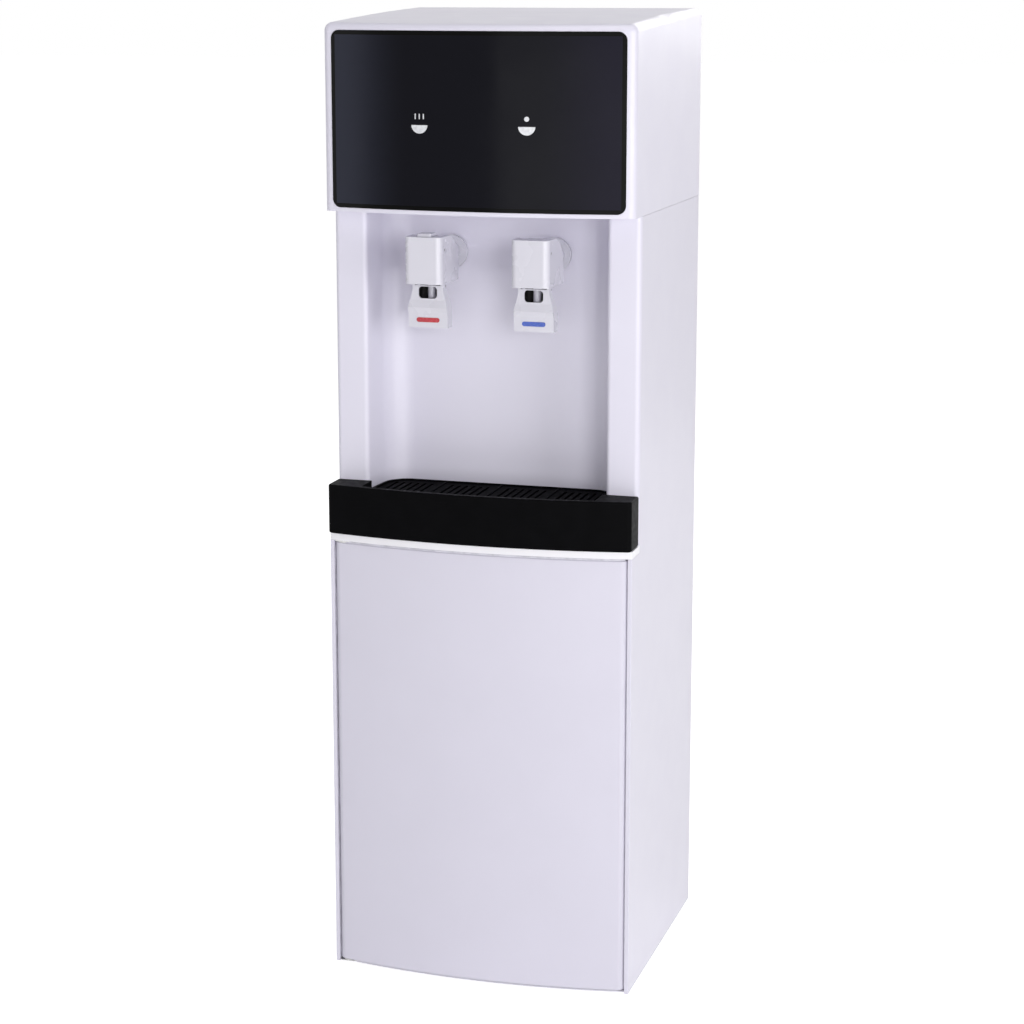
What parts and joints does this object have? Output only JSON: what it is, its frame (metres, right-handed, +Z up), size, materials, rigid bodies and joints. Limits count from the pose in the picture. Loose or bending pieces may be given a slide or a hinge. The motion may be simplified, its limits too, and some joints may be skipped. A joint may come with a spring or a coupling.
{
  "type": "bottom load water cooler",
  "caption": "Tall white cabinet with a bowed door over a bottle bay, a drip tray, a recess with paddle taps, a dark head panel and a wire condenser behind.",
  "frame": {"origin": "middle of the outline's footprint, on the floor", "axes": "+Z up, +X to the right of someone who faces the front, +Y towards the rear"},
  "size_m": [0.345, 0.367, 1.0798],
  "materials": {
    "sheet_white": "satin powder coat",
    "side_white": "satin paint on sheet steel",
    "sheet_grey": "galvanised sheet",
    "sheet_zinc": "galvanised sheet",
    "foot_rubber": "matte",
    "screw_steel": "zinc plated",
    "housing_white": "gloss",
    "liner_white": "satin",
    "fascia_navy": "high gloss",
    "lens_dark": "translucent",
    "board_green": "satin",
    "tap_white": "gloss",
    "plunger_grey": "satin",
    "pin_dark": "satin",
    "mark_red": "gloss",
    "mark_blue": "gloss",
    "nut_white": "satin",
    "seal_rubber": "matte",
    "tray_black": "satin",
    "bush_white": "satin",
    "plate_steel": "zinc plated",
    "magnet_brown": "matte",
    "guide_grey": "satin",
    "probe_clear": "translucent",
    "probe_grey": "satin",
    "pump_black": "matte",
    "hose_clear": "translucent silicone",
    "compressor_black": "satin",
    "tank_steel": "satin",
    "foam_grey": "matte foam",
    "heater_steel": "satin",
    "copper": "satin copper",
    "condenser_black": "satin",
    "switch_black": "satin",
    "rocker_red": "gloss",
    "rocker_green": "gloss",
    "spout_white": "satin",
    "cap_black": "satin"
  },
  "bodies": {
    "cabinet": {"alcove_housing": "housing_white", "base_pan": "sheet_white", "bottle_guides": "guide_grey", "cabinet_screws": "screw_steel", "cold_light_lens": "lens_dark", "cold_tank": "tank_steel", "cold_tap_body": "tap_white", "compressor": "compressor_black", "compressor_deck": "sheet_zinc", "condenser_brackets": "plate_steel", "condenser_tube": "condenser_black", "condenser_wires": "condenser_black", "copper_lines": "copper", "door_magnet": "magnet_brown", "drain_spout": "spout_white", "fascia_panel": "fascia_navy", "feet": "foot_rubber", "foam_jacket": "foam_grey", "foam_lid": "foam_grey", "head_housing": "housing_white", "heater_band": "heater_steel", "hinge_plates": "plate_steel", "hot_light_lens": "lens_dark", "hot_tank": "tank_steel", "hot_tap_body": "tap_white", "left_side_panel": "side_white", "lever_pins": "pin_dark", "light_board": "board_green", "power_inlet": "switch_black", "probe_cap": "probe_grey", "probe_clip": "guide_grey", "probe_hose": "hose_clear", "pump_bracket": "plate_steel", "rear_panel": "sheet_grey", "right_side_panel": "side_white", "rubber_seals": "seal_rubber", "suction_probe": "probe_clear", "switch_plate": "switch_black", "tank_shelf": "sheet_zinc", "tap_nuts": "nut_white", "tray_shelf": "housing_white", "water_hoses": "hose_clear", "water_pump": "pump_black"},
    "door": {"door_skin": "housing_white", "door_liner": "liner_white", "liner_screws": "screw_steel", "hinge_bushes": "bush_white", "door_strike": "plate_steel"},
    "hot_lever": {"hot_lever": "tap_white", "hot_mark": "mark_red"},
    "cold_lever": {"cold_lever": "tap_white", "cold_mark": "mark_blue"},
    "hot_plunger": {"hot_plunger": "plunger_grey"},
    "cold_plunger": {"cold_plunger": "plunger_grey"},
    "hot_latch": {"hot_latch": "tap_white"},
    "drip_tray": {"drip_tray": "tray_black"},
    "drip_grille": {"drip_grille": "tray_black"},
    "hot_rocker": {"hot_rocker": "rocker_red"},
    "cold_rocker": {"cold_rocker": "rocker_green"},
    "drain_cap": {"drain_cap": "cap_black"}
  },
  "joints": [
    {"name": "door_hinge", "type": "hinge", "parent": "cabinet", "child": "door", "pos_m": [-0.1574, -0.156, 0.255], "axis": [0, 0, -1], "range_deg": [0, 110]},
    {"name": "hot_lever_press", "type": "hinge", "parent": "cabinet", "child": "hot_lever", "pos_m": [-0.0595, -0.1555, 0.828], "axis": [1, 0, 0], "range_deg": [0, 8], "stiffness_Nm_per_rad": 1, "springref_deg": -5.73},
    {"name": "cold_lever_press", "type": "hinge", "parent": "cabinet", "child": "cold_lever", "pos_m": [0.0595, -0.1555, 0.828], "axis": [1, 0, 0], "range_deg": [0, 8], "stiffness_Nm_per_rad": 1, "springref_deg": -5.73},
    {"name": "hot_valve_lift", "type": "slide", "parent": "cabinet", "child": "hot_plunger", "axis": [0, 0, 1], "range_m": [0, 0.0033]},
    {"name": "cold_valve_lift", "type": "slide", "parent": "cabinet", "child": "cold_plunger", "axis": [0, 0, 1], "range_m": [0, 0.0033]},
    {"name": "hot_latch_slide", "type": "slide", "parent": "cabinet", "child": "hot_latch", "axis": [0, 1, 0], "range_m": [0, 0.006], "stiffness_N_per_m": 60, "springref_m": -0.01},
    {"name": "tray_slide", "type": "slide", "parent": "cabinet", "child": "drip_tray", "axis": [0, -1, 0], "range_m": [0, 0.09]},
    {"name": "grille_lift", "type": "slide", "parent": "drip_tray", "child": "drip_grille", "axis": [0, 0, 1], "range_m": [0, 0.04]},
    {"name": "hot_switch", "type": "hinge", "parent": "cabinet", "child": "hot_rocker", "pos_m": [-0.095, 0.1455, 0.8], "axis": [1, 0, 0], "range_deg": [-16, 0]},
    {"name": "cold_switch", "type": "hinge", "parent": "cabinet", "child": "cold_rocker", "pos_m": [-0.075, 0.1455, 0.8], "axis": [1, 0, 0], "range_deg": [-16, 0]},
    {"name": "drain_cap_off", "type": "slide", "parent": "cabinet", "child": "drain_cap", "axis": [0, 1, 0], "range_m": [0, 0.02]}
  ],
  "couplings": [
    {"joint": "hot_valve_lift", "follows": "hot_lever_press", "m_per_rad": 0.0234},
    {"joint": "cold_valve_lift", "follows": "cold_lever_press", "m_per_rad": 0.0234}
  ]
}
